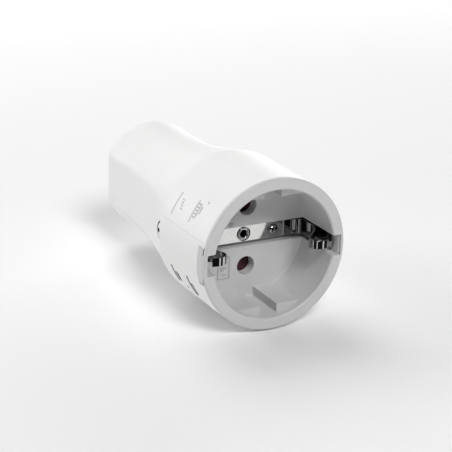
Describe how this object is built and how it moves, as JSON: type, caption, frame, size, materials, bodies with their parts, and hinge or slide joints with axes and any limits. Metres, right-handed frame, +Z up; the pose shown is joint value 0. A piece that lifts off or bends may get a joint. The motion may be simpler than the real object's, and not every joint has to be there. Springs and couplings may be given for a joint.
{
  "type": "powerline adapter",
  "caption": "In-line powerline adapter: round socket face with side earth clips, shuttered pin holes and guide blocks, on a waisted white housing with a flat-sided grip and rear cord inlet.",
  "frame": {"origin": "middle of the bounding box's underside, where the lying housing meets the surface", "axes": "+Y from the socket's rim to the cord inlet along the body's axis, +Z up along the line of the pin holes, +X through the earth clips"},
  "size_m": [0.047, 0.087, 0.0472],
  "materials": {
    "white_plastic": "fine satin moulding",
    "insert_plastic": "fine satin moulding",
    "shutter_plastic": "smooth moulding",
    "grey_plastic": "plain moulding",
    "nickel": "bright nickel plate",
    "brass": "bright stamped brass",
    "steel": "zinc plated",
    "board_green": "solder mask",
    "black_epoxy": "moulded epoxy",
    "capacitor_yellow": "smooth case",
    "can_sleeve": "shrunk sleeve",
    "ferrite": "sintered",
    "varistor_blue": "dipped coating",
    "fuse_ceramic": "glazed ceramic",
    "lead_brown": "wire sleeving",
    "lead_blue": "wire sleeving",
    "rubber": "soft moulding",
    "label_film": "printed film without text"
  },
  "bodies": {
    "housing": {"housing_shell": "white_plastic", "socket_insert": "insert_plastic", "shutter_spring": "steel", "earth_bridge": "nickel", "centre_rivet": "nickel", "earth_screw": "nickel", "earth_terminal": "brass", "floor_label": "label_film", "contact_carrier": "grey_plastic", "live_contact": "brass", "live_terminal": "brass", "live_terminal_screw": "steel", "neutral_contact": "brass", "neutral_terminal": "brass", "neutral_terminal_screw": "steel", "circuit_board": "board_green", "coupling_transformer": "ferrite", "film_capacitor": "capacitor_yellow", "smoothing_capacitor": "can_sleeve", "varistor": "varistor_blue", "fuse": "fuse_ceramic", "modem_chip": "black_epoxy", "memory_chip": "black_epoxy", "live_lead": "lead_brown", "neutral_lead": "lead_blue", "inner_chassis": "grey_plastic", "cord_clamp_bar": "grey_plastic", "clamp_screw_left": "steel", "clamp_screw_right": "steel", "inlet_bush": "rubber"},
    "shutter": {"shutter": "shutter_plastic"},
    "clip_left": {"earth_clip_left": "nickel"},
    "clip_right": {"earth_clip_right": "nickel"}
  },
  "joints": [
    {"name": "shutter_turn", "type": "hinge", "parent": "housing", "child": "shutter", "pos_m": [0, -0.0214, 0.0236], "axis": [0, 1, 0], "range_deg": [0, 42], "stiffness_Nm_per_rad": 0.002},
    {"name": "clip_left_flex", "type": "hinge", "parent": "housing", "child": "clip_left", "pos_m": [-0.0176, -0.02465, 0.0236], "axis": [0, 0, -1], "range_deg": [0, 4], "stiffness_Nm_per_rad": 0.3},
    {"name": "clip_right_flex", "type": "hinge", "parent": "housing", "child": "clip_right", "pos_m": [0.0176, -0.02465, 0.0236], "axis": [0, 0, 1], "range_deg": [0, 4], "stiffness_Nm_per_rad": 0.3}
  ]
}
